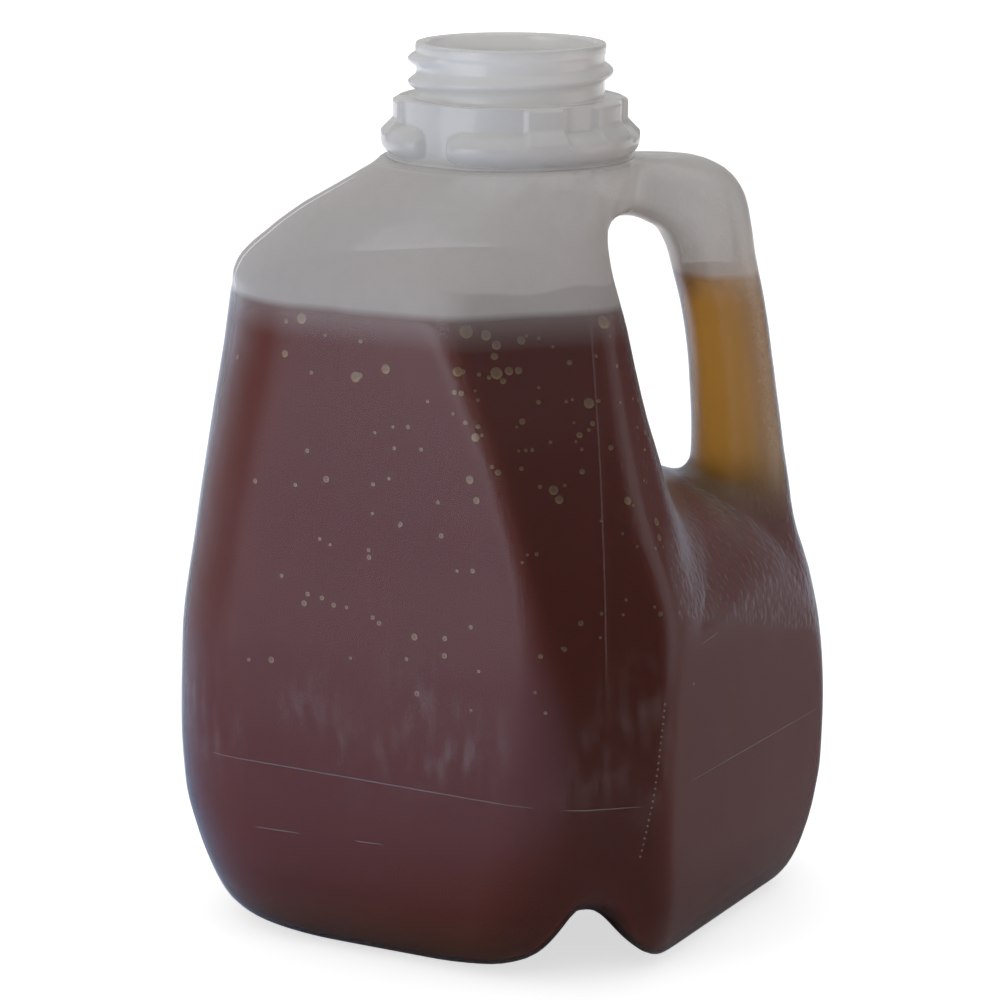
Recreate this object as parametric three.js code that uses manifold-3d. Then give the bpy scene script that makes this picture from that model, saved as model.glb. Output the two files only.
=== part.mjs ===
// A handled one-quart (32 US fl oz) jug, blow moulded in natural polyethylene, open at its 38 mm neck
// and filled to just under the shoulder.
// Millimetres. +Z is up, the origin is on the neck's axis in the resting plane, +X points at the handle,
// and the mould parts on the plane y = 0.

import * as THREE from 'three';
import { mergeVertices } from 'three/addons/utils/BufferGeometryUtils.js';
import Module from 'manifold-3d';

const wasm = await Module();
wasm.setup();

// ---------------------------------------------------------------- driving dimensions

const HEIGHT = 162.4; // resting plane to rim
const WALL = 0.9; // shell thickness
const LIQUID_GAP = 0.3; // kept between the liquid and the wall it wets
const LIQUID_LEVEL = 118.8;
const ROOF_THICKNESS = 1.5 * WALL; // the step under the collar
const BASE_THICKNESS = 1.25 * WALL; // over the dished base, which the mould presses thicker

// Distance from the neck's axis to each flat of the eight-sided body, as [height, distance] points.
// The body is a square set corner on to the handle, and each corner is cut off by a narrow flat.
const SIDE_FLAT = [
  [0, 41.0], [1, 43.0], [4, 45.3], [9, 47.5], [16, 49.3], [26, 50.4], [38, 50.7], [55, 50.4],
  [75, 49.4], [95, 47.9], [112, 46.2], [117.5, 45.3], [121.5, 42.9], [130, 35.0], [142, 23.8],
];
const REAR_FLAT = [
  [0, 47.2], [1, 50.0], [4, 53.2], [9, 56.5], [16, 59.4], [26, 61.9], [38, 63.0], [55, 62.2],
  [75, 59.3], [95, 55.2], [112, 52.3], [119, 51.4], [122.5, 50.9], [127, 48.2], [133.5, 39.0],
  [138.8, 28.8], [142, 23.6],
];
const FRONT_FLAT = [
  [0, 46.0], [1, 48.8], [4, 51.8], [9, 54.8], [16, 57.4], [26, 60.4], [38, 61.5], [50, 59.4],
  [70, 54.2], [95, 46.9], [112, 40.9], [119, 38.6], [123, 36.9], [132, 31.2], [142, 23.8],
];
// On the handle's side the flats draw in above the lower body, to leave room for the fingers.
const RECESS_FLAT = [
  [0, 41.0], [1, 43.0], [4, 45.3], [9, 47.5], [16, 49.3], [26, 50.4], [38, 50.7], [55, 50.3],
  [70, 48.3], [76, 45.2], [84, 42.2], [95, 38.8], [112, 33.4], [119, 31.4], [125, 27.8], [132, 25.4],
  [142, 23.8],
];
const NOSE_FLAT = [
  [0, 47.2], [1, 50.0], [4, 53.2], [9, 56.5], [16, 59.4], [26, 61.9], [38, 63.0], [46, 62.4],
  [54, 60.6], [62, 57.2], [70, 50.5], [76, 43.0], [80.5, 33.5], [83.5, 24.5], [88, 18.6], [95, 16.2],
  [104, 14.5], [119, 12.4], [129, 10.2], [136, 15.8], [142, 23.4],
];
const BODY_LEVELS = [
  0, 1, 4, 9, 16, 26, 38, 50, 62, 70, 76, 80.5, 84, 88, 95, 104, 112, 117.5, 121, 125, 130, 136, 142,
];
const LEAST_LEVEL_GAP = 0.5; // between two rings of the body
const BODY_SEGMENTS = 56;
const CORNER_SHARPNESS = 26; // exponent that rounds the body's upright edges
const COLLAR_SHARPNESS = 7; // the same, where the shoulder turns round to meet the collar
const SHOULDER_BOTTOM = 118;

// The hollow handle's centre line, with its half thickness in the mould plane and its half width across.
const HANDLE = [
  { x: 12, z: 133.8, thick: 5.2, wide: 8.0 },
  { x: 22, z: 135.6, thick: 5.8, wide: 8.2 },
  { x: 31, z: 134.0, thick: 7.3, wide: 8.6 },
  { x: 37.3, z: 129.5, thick: 9.0, wide: 9.0 },
  { x: 40.1, z: 120, thick: 7.5, wide: 9.2 },
  { x: 42.4, z: 110, thick: 7.0, wide: 9.2 },
  { x: 44.3, z: 98, thick: 7.1, wide: 9.3 },
  { x: 45.4, z: 86, thick: 7.7, wide: 9.8 },
  { x: 46.0, z: 76, thick: 8.9, wide: 11.6 },
  { x: 46.4, z: 66, thick: 11.0, wide: 14.4 },
  { x: 45.5, z: 55, thick: 13.0, wide: 17.0 },
];
const HANDLE_STATIONS = 20;
const HANDLE_SEGMENTS = 16;
const HANDLE_SQUARENESS = 2.5;

// Neck: thread for a 38 mm screw cap over a ratchet band and a snap bead that hold a tamper band.
const BORE_RADIUS = 15.4;
const THREAD_ROOT_RADIUS = 17.2;
const RIM_RADIUS = 17.4;
const RIM_HEIGHT = 2.2;
const BAND_RADIUS = 20.6;
const BAND_BOTTOM = 147.2;
const BAND_TOP = 151.8;
const COLLAR_RADIUS = 22.9;
const COLLAR_TOP = 142;
const CORE_DEPTH = 3; // how far the neck reaches down into the body
const BORE_DEPTH = 5;
const BAND_WALL = 1.6;
const BAND_CHAMFER = 0.6;
const RIM_CHAMFER = 0.4;
const BURIED = 0.7; // how deep a ridge's foot stands in the neck's wall
const NECK_SEGMENTS = 40;

// The thread is right-handed; from and to are the degrees between which it runs.
const THREAD = {
  crest: 18.6, pitch: 4.23, height: 2.9, crestHeight: 1.0, bottom: 152.7, from: 85, to: 575,
};
const THREAD_STEP = 14; // degrees between sections
const THREAD_RUNOUT = 30; // degrees over which each end fades into the wall

const BEAD = { radius: 23.7, bottom: 141.8, top: 147.2, from: -140, to: 208 };
const BEAD_STEP = 11;
const BEAD_END = 8; // degrees over which each end rounds off
const BEAD_LEAST_LIFT = 0.15; // share of the bead's height and girth left at its very end
const BEAD_LEAST_GIRTH = 0.6;

// Three ratchet blocks on one half of the band, as [from, to] in degrees, and three opposite them.
const RATCHET_RADIUS = 21.5;
const RATCHET_BLOCKS = [[81, 100], [119.5, 142], [159, 181]];
const RATCHET_STEP = 7;
const RATCHET_CHAMFER = 0.5;
const RATCHET_OVERLAP = 1; // how far a block reaches down into the bead

// Base: a dished panel, and a bell-shaped notch under the front and the back corner that runs into it.
const PANEL_RADIUS = 31;
const PANEL_DEPTH = 5.6;
const PANEL_FLARE = 9; // how much narrower the panel is than its opening
const NOTCH_HALF_WIDTH = 17;
const NOTCH_STEPS = 12;
const NOTCH_SINK = 0.2; // keeps the foot of the bell under the resting plane
const CUTTER_BELOW = 3; // how far the cutters reach below the resting plane
// Height of the notch's roof, as [distance out, height] points.
const NOTCH_ROOF = [[22, 5.8], [34, 9], [47, 12.3], [54, 15.5], [60, 20.5], [66, 27]];

// ---------------------------------------------------------------- small tools

const radians = THREE.MathUtils.degToRad;

// Linear reading of a list of [position, value] points.
function along(points, position) {
  const next = points.findIndex(([at]) => at >= position);
  if (next === 0) return points[0][1];
  if (next < 0) return points[points.length - 1][1];
  const [a, valueA] = points[next - 1];
  const [b, valueB] = points[next];
  return THREE.MathUtils.mapLinear(position, a, b, valueA, valueB);
}

// A closed skin over rings of equal length, with a flat fan over each end.
function loft(rings) {
  const count = rings[0].length;
  const points = rings.flat();
  const index = [];
  for (let ring = 0; ring < rings.length - 1; ring += 1) {
    for (let i = 0; i < count; i += 1) {
      const a = ring * count + i;
      const b = ring * count + ((i + 1) % count);
      index.push(a, b, b + count, a, b + count, a + count);
    }
  }
  const last = (rings.length - 1) * count;
  for (let i = 1; i < count - 1; i += 1) {
    index.push(0, i + 1, i);
    index.push(last, last + i, last + i + 1);
  }
  const geometry = new THREE.BufferGeometry().setFromPoints(points);
  geometry.setIndex(index);
  return geometry;
}

// A closed geometry as a solid that can be joined and cut.
function solid(geometry) {
  const bare = geometry.clone();
  bare.deleteAttribute('normal');
  bare.deleteAttribute('uv');
  const welded = mergeVertices(bare, 1e-4);
  const mesh = new wasm.Mesh({
    numProp: 3,
    vertProperties: new Float32Array(welded.attributes.position.array),
    triVerts: new Uint32Array(welded.index.array),
  });
  return new wasm.Manifold(mesh);
}

function asGeometry(manifold) {
  const mesh = manifold.getMesh();
  const geometry = new THREE.BufferGeometry();
  geometry.setAttribute('position', new THREE.BufferAttribute(new Float32Array(mesh.vertProperties), 3));
  geometry.setIndex(new THREE.BufferAttribute(new Uint32Array(mesh.triVerts), 1));
  geometry.computeVertexNormals();
  return geometry;
}

function unite(...parts) {
  return parts.reduce((whole, part) => whole.add(part));
}

// ---------------------------------------------------------------- body

// Radius of the body at a height and a direction: the eight flats meet in rounded corners.
function bodyRadius(height, angle, inset) {
  const flats = [
    [0, NOSE_FLAT], [45, RECESS_FLAT], [90, FRONT_FLAT], [135, SIDE_FLAT],
    [180, REAR_FLAT], [225, SIDE_FLAT], [270, FRONT_FLAT], [315, RECESS_FLAT],
  ];
  const rounding = THREE.MathUtils.smoothstep(height, SHOULDER_BOTTOM, COLLAR_TOP);
  const sharpness = THREE.MathUtils.lerp(CORNER_SHARPNESS, COLLAR_SHARPNESS, rounding);
  let sum = 0;
  for (const [direction, flat] of flats) {
    const facing = Math.cos(angle - radians(direction));
    if (facing > 0) sum += (facing / (along(flat, height) - inset)) ** sharpness;
  }
  return sum ** (-1 / sharpness);
}

function bodySolid(inset) {
  const floor = inset; // the floor is as thick as the walls
  const roof = COLLAR_TOP - (inset / WALL) * ROOF_THICKNESS;
  const levels = BODY_LEVELS.filter((level) => (
    level > floor + LEAST_LEVEL_GAP && level < roof - LEAST_LEVEL_GAP));
  const rings = [floor, ...levels, roof].map((height) => {
    const ring = [];
    for (let i = 0; i < BODY_SEGMENTS; i += 1) {
      const angle = (i / BODY_SEGMENTS) * 2 * Math.PI;
      const radius = bodyRadius(height, angle, inset);
      ring.push(new THREE.Vector3(radius * Math.cos(angle), radius * Math.sin(angle), height));
    }
    return ring;
  });
  return solid(loft(rings));
}

// ---------------------------------------------------------------- handle

function handleSolid(inset) {
  const centres = new THREE.CatmullRomCurve3(HANDLE.map(({ x, z }) => new THREE.Vector3(x, 0, z)));
  const sizes = new THREE.SplineCurve(HANDLE.map(({ thick, wide }) => new THREE.Vector2(thick, wide)));
  const rings = [];
  for (let station = 0; station <= HANDLE_STATIONS; station += 1) {
    const t = station / HANDLE_STATIONS;
    const centre = centres.getPoint(t);
    const tangent = centres.getTangent(t);
    const outward = new THREE.Vector3(-tangent.z, 0, tangent.x);
    const size = sizes.getPoint(t);
    rings.push(handleRing(centre, outward, size.x - inset, size.y - inset));
  }
  return solid(loft(rings));
}

function handleRing(centre, outward, thick, wide) {
  const ring = [];
  for (let i = 0; i < HANDLE_SEGMENTS; i += 1) {
    const angle = (i / HANDLE_SEGMENTS) * 2 * Math.PI;
    const u = Math.abs(Math.cos(angle) / thick) ** HANDLE_SQUARENESS;
    const v = Math.abs(Math.sin(angle) / wide) ** HANDLE_SQUARENESS;
    const radius = (u + v) ** (-1 / HANDLE_SQUARENESS);
    const point = centre.clone().addScaledVector(outward, radius * Math.cos(angle));
    point.y -= radius * Math.sin(angle);
    ring.push(point);
  }
  return ring;
}

// ---------------------------------------------------------------- neck

function revolve(profile) {
  const points = profile.map(([radius, height]) => new THREE.Vector2(radius, height));
  return solid(new THREE.LatheGeometry(points, NECK_SEGMENTS).rotateX(Math.PI / 2));
}

function neckCore() {
  return revolve([
    [0, COLLAR_TOP - CORE_DEPTH],
    [COLLAR_RADIUS, COLLAR_TOP - CORE_DEPTH],
    [COLLAR_RADIUS, COLLAR_TOP],
    [BAND_RADIUS, COLLAR_TOP],
    [BAND_RADIUS, BAND_TOP - BAND_CHAMFER],
    [BAND_RADIUS - BAND_CHAMFER, BAND_TOP],
    [THREAD_ROOT_RADIUS, BAND_TOP],
    [THREAD_ROOT_RADIUS, HEIGHT - RIM_HEIGHT],
    [RIM_RADIUS, HEIGHT - RIM_HEIGHT + RIM_CHAMFER],
    [RIM_RADIUS, HEIGHT - RIM_CHAMFER],
    [RIM_RADIUS - RIM_CHAMFER, HEIGHT],
    [0, HEIGHT],
  ]);
}

// The wall stays thin behind the ratchet band and the bead, as blow moulding leaves it.
function boreSolid() {
  const bandBore = BAND_RADIUS - BAND_WALL;
  const bandMiddle = (BAND_BOTTOM + BAND_TOP) / 2;
  const above = HEIGHT + 1;
  return revolve([
    [0, COLLAR_TOP - BORE_DEPTH],
    [bandBore + 1, COLLAR_TOP - BORE_DEPTH],
    [bandBore + 1, COLLAR_TOP + 2],
    [bandBore, BAND_BOTTOM],
    [bandBore, bandMiddle],
    [BORE_RADIUS, BAND_TOP],
    [BORE_RADIUS, above],
    [0, above],
  ]);
}

// One section of a ridge that runs round the neck, given as [radius, height] points from its foot up.
function neckSection(degrees, outline) {
  const angle = radians(degrees);
  const points = outline.map(([radius, height]) => (
    new THREE.Vector3(radius * Math.cos(angle), radius * Math.sin(angle), height)));
  return points.reverse();
}

function ridge(from, to, step, outlineAt) {
  const count = Math.round((to - from) / step);
  const rings = [];
  for (let i = 0; i <= count; i += 1) {
    const degrees = THREE.MathUtils.lerp(from, to, i / count);
    rings.push(neckSection(degrees, outlineAt(degrees)));
  }
  return solid(loft(rings));
}

// How far a ridge has risen at an angle, from 0 at its ends to 1.
function risen(degrees, from, to, runout) {
  const distance = Math.min(degrees - from, to - degrees);
  return THREE.MathUtils.smoothstep(distance, 0, runout);
}

function threadSolid() {
  const { crest, pitch, height, crestHeight, bottom, from, to } = THREAD;
  const buried = THREAD_ROOT_RADIUS - BURIED;
  return ridge(from, to, THREAD_STEP, (degrees) => {
    const base = bottom + (pitch * (degrees - from)) / 360;
    const lift = risen(degrees, from, to, THREAD_RUNOUT);
    const top = THREE.MathUtils.lerp(THREAD_ROOT_RADIUS - BURIED / 2, crest, lift);
    const middle = base + height / 2;
    return [
      [buried, base], [THREAD_ROOT_RADIUS, base], [top, middle - crestHeight / 2],
      [top, middle + crestHeight / 2], [THREAD_ROOT_RADIUS, base + height], [buried, base + height],
    ];
  });
}

function beadSolid() {
  const { radius, bottom, top, from, to } = BEAD;
  const buried = BAND_RADIUS - BURIED;
  const middle = (bottom + top) / 2;
  return ridge(from, to, BEAD_STEP, (degrees) => {
    const lift = Math.max(BEAD_LEAST_LIFT, risen(degrees, from, to, BEAD_END));
    const outer = THREE.MathUtils.lerp(BAND_RADIUS, radius, lift);
    const half = ((top - bottom) / 2) * THREE.MathUtils.lerp(BEAD_LEAST_GIRTH, 1, lift);
    const flank = THREE.MathUtils.lerp(BAND_RADIUS, outer, 0.7);
    return [
      [buried, middle - half], [BAND_RADIUS, middle - half], [flank, middle - half * 0.75],
      [outer, middle - half / 4], [outer, middle + half / 4], [flank, middle + half * 0.75],
      [BAND_RADIUS, middle + half], [buried, middle + half],
    ];
  });
}

function ratchetBlock([from, to], turn) {
  const buried = BAND_RADIUS - BURIED;
  const bottom = BAND_BOTTOM - RATCHET_OVERLAP;
  const top = BAND_TOP - BAND_CHAMFER / 4;
  const outline = [
    [buried, bottom], [RATCHET_RADIUS, bottom], [RATCHET_RADIUS, top - RATCHET_CHAMFER],
    [RATCHET_RADIUS - RATCHET_CHAMFER, top], [buried, top],
  ];
  return ridge(from + turn, to + turn, RATCHET_STEP, () => outline);
}

// ---------------------------------------------------------------- base

// The dished panel in the middle of the base. Clearance grows the cutter, for use on the cavity.
function panelCutter(clearance) {
  return revolve([
    [0, -CUTTER_BELOW],
    [PANEL_RADIUS + clearance, -CUTTER_BELOW],
    [PANEL_RADIUS + clearance, clearance],
    [PANEL_RADIUS - PANEL_FLARE + clearance, PANEL_DEPTH + clearance],
    [0, PANEL_DEPTH + clearance],
  ]);
}

// The notch under one corner: its outline is a bell, and its roof climbs towards the outside.
function notchCutter(side, clearance) {
  const halfWidth = NOTCH_HALF_WIDTH + clearance;
  const rings = NOTCH_ROOF.map(([distance, height]) => {
    const ring = [];
    for (let i = 0; i <= NOTCH_STEPS; i += 1) {
      const u = -1 + (2 * i) / NOTCH_STEPS;
      const bell = Math.cos((u * Math.PI) / 2) ** 2;
      const z = bell * (height + clearance) + clearance - NOTCH_SINK;
      ring.push(new THREE.Vector3(u * halfWidth, side * distance, z));
    }
    ring.push(new THREE.Vector3(halfWidth, side * distance, -CUTTER_BELOW));
    ring.push(new THREE.Vector3(-halfWidth, side * distance, -CUTTER_BELOW));
    return side > 0 ? ring : ring.reverse();
  });
  return solid(loft(rings));
}

function baseCutter(clearance) {
  return unite(panelCutter(clearance), notchCutter(1, clearance), notchCutter(-1, clearance));
}

// ---------------------------------------------------------------- the pieces

// The inside of the jug, drawn in from the outside by inset.
function hollow(inset) {
  const clearance = (inset / WALL) * BASE_THICKNESS;
  return unite(bodySolid(inset), handleSolid(inset)).subtract(baseCutter(clearance));
}

function shellGeometry() {
  const blocks = [0, 180].flatMap((turn) => RATCHET_BLOCKS.map((block) => ratchetBlock(block, turn)));
  const neck = unite(neckCore(), threadSolid(), beadSolid(), ...blocks);
  const outside = unite(bodySolid(0), handleSolid(0)).subtract(baseCutter(0)).add(neck);
  return asGeometry(outside.subtract(hollow(WALL)).subtract(boreSolid()));
}

function liquidGeometry() {
  const reach = 2 * HEIGHT;
  const above = new THREE.BoxGeometry(reach, reach, reach).translate(0, 0, LIQUID_LEVEL + reach / 2);
  return asGeometry(hollow(WALL + LIQUID_GAP).subtract(solid(above)));
}

const naturalPlastic = new THREE.MeshStandardMaterial({
  color: '#c9c7c3', roughness: 0.38, metalness: 0, transparent: true, opacity: 0.45,
});
const brownLiquid = new THREE.MeshStandardMaterial({ color: '#4a2a20', roughness: 0.12, metalness: 0 });

function piece(name, geometry, material) {
  const mesh = new THREE.Mesh(geometry, material);
  mesh.name = name;
  return mesh;
}

const jug = new THREE.Group();
jug.add(piece('jug_shell', shellGeometry(), naturalPlastic));
jug.add(piece('liquid', liquidGeometry(), brownLiquid));

export default jug;
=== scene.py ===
"""A handled one-quart jug in natural polyethylene, open at the neck, with brown liquid in it.

Shapes are worked out in millimetres in the frame of the CAD model, and become metres when a mesh is made.
The body's outer surface is the zero level of a field made of flats, a swept handle and a collar, joined with
rounded blends. The neck is a grid of rings, because its thread and its ratchet blocks need sharp edges.
"""

import math

import bmesh
import bpy
import numpy as np
from mathutils import Matrix, Vector


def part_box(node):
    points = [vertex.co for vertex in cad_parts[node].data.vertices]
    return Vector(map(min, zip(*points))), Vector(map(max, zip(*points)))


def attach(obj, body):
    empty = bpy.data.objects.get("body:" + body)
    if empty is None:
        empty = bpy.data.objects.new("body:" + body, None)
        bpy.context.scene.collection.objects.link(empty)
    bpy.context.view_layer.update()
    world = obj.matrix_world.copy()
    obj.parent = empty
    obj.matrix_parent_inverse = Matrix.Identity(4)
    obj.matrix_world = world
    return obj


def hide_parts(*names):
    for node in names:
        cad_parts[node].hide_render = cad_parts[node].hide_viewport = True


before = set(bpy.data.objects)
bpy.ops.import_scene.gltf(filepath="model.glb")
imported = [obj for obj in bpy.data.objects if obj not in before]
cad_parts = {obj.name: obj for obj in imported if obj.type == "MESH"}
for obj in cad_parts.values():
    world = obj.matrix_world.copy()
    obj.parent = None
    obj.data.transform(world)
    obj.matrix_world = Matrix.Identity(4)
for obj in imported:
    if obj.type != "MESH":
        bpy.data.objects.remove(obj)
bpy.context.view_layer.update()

# ---- sizes, in millimetres

MM = 0.001
SHELL_BOX = [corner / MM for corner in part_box("jug_shell")]
LIQUID_BOX = [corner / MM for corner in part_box("liquid")]
RIM_Z = SHELL_BOX[1].z
LEVEL = LIQUID_BOX[1].z

WALL = 0.5  # thinner than the CAD wall, because the plastic bends light and so looks thinner than it is
FILM = 0.16  # clear space between the liquid and the wall, which holds the bubbles

BODY_STEP = 1.25  # grid step of the outer surface
INNER_STEP = 2.2  # of the wall's inner face
LIQUID_STEP = 1.6  # of the liquid's surface

COLLAR_RADIUS = 22.7
COLLAR_SEAT = 141.3  # the shoulder ends here, under the collar
COLLAR_FOOT = 132.0  # how far down the collar reaches inside the shoulder
JOIN_Z = 141.6  # the body's mesh hands over to the neck's here, on the collar's upright edge

# Distance from the neck's axis to each flat of the body, as (height, distance) points.
SIDE_FOOT = ((-2, 40), (0, 42), (2, 44.3), (5, 46.3), (10, 48.1), (17, 49.6), (26, 50.5))
SIDE_FLAT = SIDE_FOOT + (
    (38, 50.7), (55, 49.9), (75, 48.2), (95, 46.9), (112, 45.7), (117.5, 45), (121.5, 42.9), (130, 35),
    (142, 23.8), (150, 16),
)
RECESS_FLAT = SIDE_FOOT + (
    (38, 50.8), (55, 50.3), (66, 49.2), (74, 46.6), (84, 42.6), (95, 39), (112, 33.6), (119, 31.5),
    (125, 28.4), (132, 25.8), (142, 23.8), (150, 22),
)
REAR_FLAT = (
    (-2, 47.4), (0, 49.8), (2, 52.1), (5, 54.6), (10, 57.1), (17, 59.6), (26, 61.8), (38, 62.55), (55, 62.3),
    (75, 59.4), (95, 55.7), (112, 52.4), (118.5, 51.7), (122, 52.3), (124.5, 52.3), (127, 51.5),
    (130.5, 48.5), (134, 43.4), (138.8, 31.2), (142, 23.6), (150, 12),
)
FRONT_FLAT = (
    (-2, 45.5), (0, 48), (2, 50.5), (5, 53), (10, 55.6), (17, 58), (26, 60.2), (36, 61), (50, 59.7),
    (70, 55.6), (95, 48.2), (112, 41.5), (119, 38.6), (123, 36.4), (132, 30.6), (142, 23.8), (150, 18.5),
)
NOSE_FLAT = (
    (-2, 46.4), (0, 48.8), (2, 51.4), (5, 54.2), (10, 56.6), (17, 58.6), (26, 60), (36, 60.2), (46, 59.9),
    (54, 59.4), (62, 57.6), (70, 51.4), (75.6, 43.9), (79.4, 35.2), (82.9, 27.2), (88, 22), (95, 18.8),
    (103.5, 16.2), (110, 14.3), (118, 12.7), (123, 11.9), (127, 11.3), (131, 11.8), (135, 13.5), (142, 20),
    (150, 22),
)
NOSE_SAG = 0.0075  # how fast the hand hole's floor falls away from the mould plane, per mm

# The handle's centre line in the mould plane: (x, z, half thickness, half width).
HANDLE = (
    (8, 132.6, 5.1, 7.6), (15, 134.7, 5.4, 7.8), (22, 135.7, 5.75, 8.1), (30, 134.3, 7, 8.6),
    (36.5, 130.9, 8.6, 9), (38.7, 125.8, 7.8, 9.1), (39.95, 120.5, 7.35, 9.2), (41.9, 112.5, 7.2, 9.2),
    (43.2, 105, 7.2, 9.3), (44.2, 97, 7.45, 9.4), (45.3, 86, 8, 9.8), (45.8, 76, 9, 11.4),
    (45.6, 66, 10.6, 13.6), (44, 55, 12.3, 16),
)
HANDLE_SQUARENESS = 2.6
HANDLE_SAMPLES = 160  # points along the centre line

# How far a rounded edge reaches: along the body's upright edges, and what is added to that in three places.
EDGE_BLEND = 2.2
LOW_BLEND = 6.0  # low on the side away from the handle
LOW_Z = (25, 80)  # it fades out between these heights,
LOW_X = ((-42, -28), (-15, 10))  # and beyond these distances from the middle
REAR_BLEND = 5.0  # beside the flat opposite the handle, and on the shoulder
REAR_X = (29, 38)
SHOULDER_Z = (112, 134)
ROOT_BLEND = 7.0  # around the foot of the handle
ROOT_Z = 68.0
ROOT_REACH = 15.0
ROOT_X = (10, 30)

HEEL_BLEND = 2.2
HANDLE_BLEND = 5.0
CAP_BLEND = 1.0
COLLAR_BLEND = 3.0

DISH_EDGE = (23.0, 33.0)  # the base is dished inside these radii, and slopes between them
DISH_DEPTH = 5.6
NOTCH_MIDDLE = -0.6
NOTCH_HALF_WIDTH = 8.2  # at half its height
NOTCH_TOE = (12.0, 20.0)  # where its flanks run out
NOTCH_MOUTH = 46.0  # the notch widens inwards from here
NOTCH_FLARE = 0.35
BASE_SLOPE = 0.75  # allows for the notch's slanting sides, so that the field is nearly a distance
NOTCH_ROOF = ((0, 5.6), (22, 5.8), (34, 8.8), (47, 11.7), (54, 14.7), (60, 19.6), (66, 26))

# ---- curves and blends


class Curve:
    """A smooth curve through (position, value) points that never overshoots them."""

    def __init__(self, points):
        self.x, self.y = np.array(points, float).T
        step = np.diff(self.x)
        slope = np.diff(self.y) / step
        self.m = np.zeros_like(self.y)
        inside = slope[:-1] * slope[1:] > 0
        w1, w2 = 2 * step[1:] + step[:-1], step[1:] + 2 * step[:-1]
        with np.errstate(divide="ignore", invalid="ignore"):
            mean = (w1 + w2) / (w1 / slope[:-1] + w2 / slope[1:])
        self.m[1:-1] = np.where(inside, mean, 0)
        self.m[0], self.m[-1] = slope[0], slope[-1]

    def read(self, x):
        """Value and slope at x, an array of any shape."""
        x = np.clip(x, self.x[0], self.x[-1])
        i = np.clip(np.searchsorted(self.x, x, side="right") - 1, 0, len(self.x) - 2)
        h = self.x[i + 1] - self.x[i]
        t = (x - self.x[i]) / h
        y0, y1, m0, m1 = self.y[i], self.y[i + 1], self.m[i] * h, self.m[i + 1] * h
        value = y0 + t * (m0 + t * (3 * (y1 - y0) - 2 * m0 - m1 + t * (2 * (y0 - y1) + m0 + m1)))
        slope = (m0 + t * (2 * (3 * (y1 - y0) - 2 * m0 - m1) + 3 * t * (2 * (y0 - y1) + m0 + m1))) / h
        return value, slope


def smooth_step(x, low, high):
    """From 0 at low to 1 at high, level at both ends."""
    t = np.clip((x - low) / (high - low), 0, 1)
    return t * t * (3 - 2 * t)


def blend_max(a, b, size):
    """The larger of two fields, with a rounded blend where they are within size of each other."""
    h = np.maximum(size - np.abs(a - b), 0) / size
    return np.maximum(a, b) + h * h * size / 4


def blend_min(a, b, size):
    return -blend_max(-a, -b, size)


# ---- the field

FLATS = [
    (0, Curve(NOSE_FLAT)), (45, Curve(RECESS_FLAT)), (90, Curve(FRONT_FLAT)), (135, Curve(SIDE_FLAT)),
    (180, Curve(REAR_FLAT)), (225, Curve(SIDE_FLAT)), (270, Curve(FRONT_FLAT)), (315, Curve(RECESS_FLAT)),
]
ROOF = Curve(NOTCH_ROOF)


def edge_blend(x, z):
    """How far the rounding of the body's edges reaches at a place."""
    low = (1 - smooth_step(z, *LOW_Z)) * smooth_step(x, *LOW_X[0]) * (1 - smooth_step(x, *LOW_X[1]))
    root = np.exp(-((z - ROOT_Z) / ROOT_REACH) ** 2) * smooth_step(x, *ROOT_X)
    rear = np.maximum(smooth_step(-x, *REAR_X), smooth_step(z, *SHOULDER_Z))
    return EDGE_BLEND + LOW_BLEND * low + REAR_BLEND * rear + ROOT_BLEND * root


def body_field(x, y, z):
    """The body without its handle, base and collar: the flats, joined."""
    blend = edge_blend(x, z)
    total = None
    for degrees, curve in FLATS:
        c, s = math.cos(math.radians(degrees)), math.sin(math.radians(degrees))
        height = z + NOSE_SAG * y * y if degrees == 0 else z
        distance, slope = curve.read(height)
        flat = (x * c + y * s - distance) / np.sqrt(1 + slope * slope)
        total = flat if total is None else blend_max(total, flat, blend)
    return total


TABLE_STEP = 0.5
TABLE_X = np.arange(-20.0, 80.0, TABLE_STEP)
TABLE_Z = np.arange(15.0, 160.0, TABLE_STEP)


def handle_table():
    """Over the mould plane: distance to the handle's centre line, and the handle's two half sizes there."""
    rows = np.array(HANDLE, float)
    chord = np.concatenate([[0], np.cumsum(np.hypot(*np.diff(rows[:, :2], axis=0).T))])
    fine = np.linspace(0, chord[-1], HANDLE_SAMPLES)
    line = np.stack([Curve(np.stack([chord, column], 1)).read(fine)[0] for column in rows.T], 1)
    x, z = TABLE_X[:, None], TABLE_Z[None, :]
    table = np.full((3, len(TABLE_X), len(TABLE_Z)), np.inf)
    for p, q in zip(line[:-1], line[1:]):
        run = q[:2] - p[:2]
        t = np.clip(((x - p[0]) * run[0] + (z - p[1]) * run[1]) / (run @ run), 0, 1)
        distance = np.hypot(x - p[0] - t * run[0], z - p[1] - t * run[1])
        closer = distance < table[0]
        here = np.stack([distance, p[2] + t * (q[2] - p[2]), p[3] + t * (q[3] - p[3])])
        table = np.where(closer, here, table)
    return table


HANDLE_TABLE = handle_table()


def read_table(x, z):
    """The three values of the handle's table at x and z, arrays of one shape."""
    u = np.clip((x - TABLE_X[0]) / TABLE_STEP, 0, len(TABLE_X) - 1.001)
    v = np.clip((z - TABLE_Z[0]) / TABLE_STEP, 0, len(TABLE_Z) - 1.001)
    i, j = u.astype(int), v.astype(int)
    u, v = u - i, v - j
    t = HANDLE_TABLE
    low = t[:, i, j] * (1 - u) + t[:, i + 1, j] * u
    high = t[:, i, j + 1] * (1 - u) + t[:, i + 1, j + 1] * u
    return low * (1 - v) + high * v


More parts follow.
